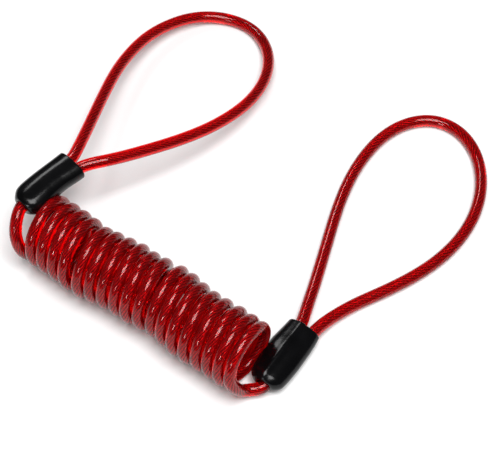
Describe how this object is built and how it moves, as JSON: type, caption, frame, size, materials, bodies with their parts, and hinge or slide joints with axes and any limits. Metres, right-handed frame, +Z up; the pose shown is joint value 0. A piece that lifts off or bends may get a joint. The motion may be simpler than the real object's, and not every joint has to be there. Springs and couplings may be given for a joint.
{
  "type": "coiled cable lanyard",
  "caption": "Coiled red plastic-jacketed steel cable lanyard with a crimped loop at each end, each crimp covered by a black boot.",
  "frame": {"origin": "on the surface the lanyard lies on, under the middle of its overall box", "axes": "+X along the coil's axis from end A to end B, +Y from the coil towards the loops, +Z up"},
  "size_m": [0.175, 0.168, 0.0315],
  "materials": {
    "jacket_red": "glossy translucent red PVC, the steel strands show through",
    "rope_steel": "bright galvanised stranded wire",
    "ferrule_aluminium": "satin, pressed",
    "boot_black": "semi-gloss dipped vinyl"
  },
  "bodies": {
    "root": {"cable_coil": "jacket_red", "cable_tail_a": "jacket_red", "boot_a": "boot_black", "ferrule_a": "ferrule_aluminium", "rope_live_a": "rope_steel", "rope_dead_a": "rope_steel"},
    "loop_a": {"cable_loop_a": "jacket_red"},
    "end_b": {"cable_tail_b": "jacket_red", "boot_b": "boot_black", "ferrule_b": "ferrule_aluminium", "rope_live_b": "rope_steel", "rope_dead_b": "rope_steel"},
    "loop_b": {"cable_loop_b": "jacket_red"}
  },
  "joints": [
    {"name": "coil_stretch", "type": "slide", "parent": "root", "child": "end_b", "axis": [1, 0, 0], "range_m": [0, 0.7], "stiffness_N_per_m": 15, "deforming": ["cable_coil"]},
    {"name": "loop_a_flex", "type": "hinge", "parent": "root", "child": "loop_a", "pos_m": [-0.05869, -0.04105, 0.027], "axis": [0.9917, -0.1288, 0], "range_deg": [0, 60], "stiffness_Nm_per_rad": 0.3, "deforming": ["cable_loop_a"]},
    {"name": "loop_b_flex", "type": "hinge", "parent": "end_b", "child": "loop_b", "pos_m": [0.05712, -0.04155, 0.0048], "axis": [0.9982, 0.0593, 0], "range_deg": [0, 60], "stiffness_Nm_per_rad": 0.3, "deforming": ["cable_loop_b"]}
  ]
}
